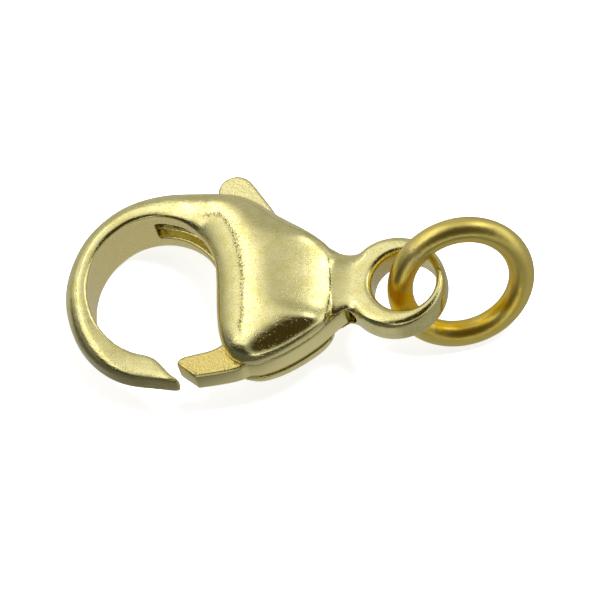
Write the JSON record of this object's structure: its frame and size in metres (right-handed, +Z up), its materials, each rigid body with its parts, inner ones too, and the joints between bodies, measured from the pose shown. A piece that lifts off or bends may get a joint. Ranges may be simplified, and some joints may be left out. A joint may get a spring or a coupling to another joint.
{
  "type": "lobster clasp with jump ring",
  "caption": "Small gold-coloured lobster clasp: a puffed body with a curved hook, a sprung lever gate with a thumb tab, and a round eye that carries a jump ring.",
  "frame": {"origin": "middle of the whole clasp's box, on the surface that it lies on", "axes": "+X from the hook towards the jump ring, +Y towards the thumb tab, +Z up; the claw's flat is raised at the eye by about 8.5 degrees because it lies on the ring"},
  "size_m": [0.0181, 0.0088, 0.0053],
  "materials": {
    "polished_claw": "tumbled and polished pale gold plate over brass",
    "stamped_lever": "satin, finely grained pale gold plate with smooth cut edges",
    "pin_end": "pressed in and polished over",
    "ring_wire": "drawn wire, polished, deeper gold than the claw"
  },
  "bodies": {
    "clasp": {"claw": "polished_claw", "pivot_pin": "pin_end", "jump_ring": "ring_wire"},
    "lever": {"lever": "stamped_lever"}
  },
  "joints": [
    {"name": "lever_hinge", "type": "hinge", "parent": "clasp", "child": "lever", "pos_m": [0.00014, -0.00169, 0.00245], "axis": [0.1474, 0, -0.9891], "range_deg": [0, 26], "stiffness_Nm_per_rad": 0.012, "springref_deg": -20.05}
  ]
}
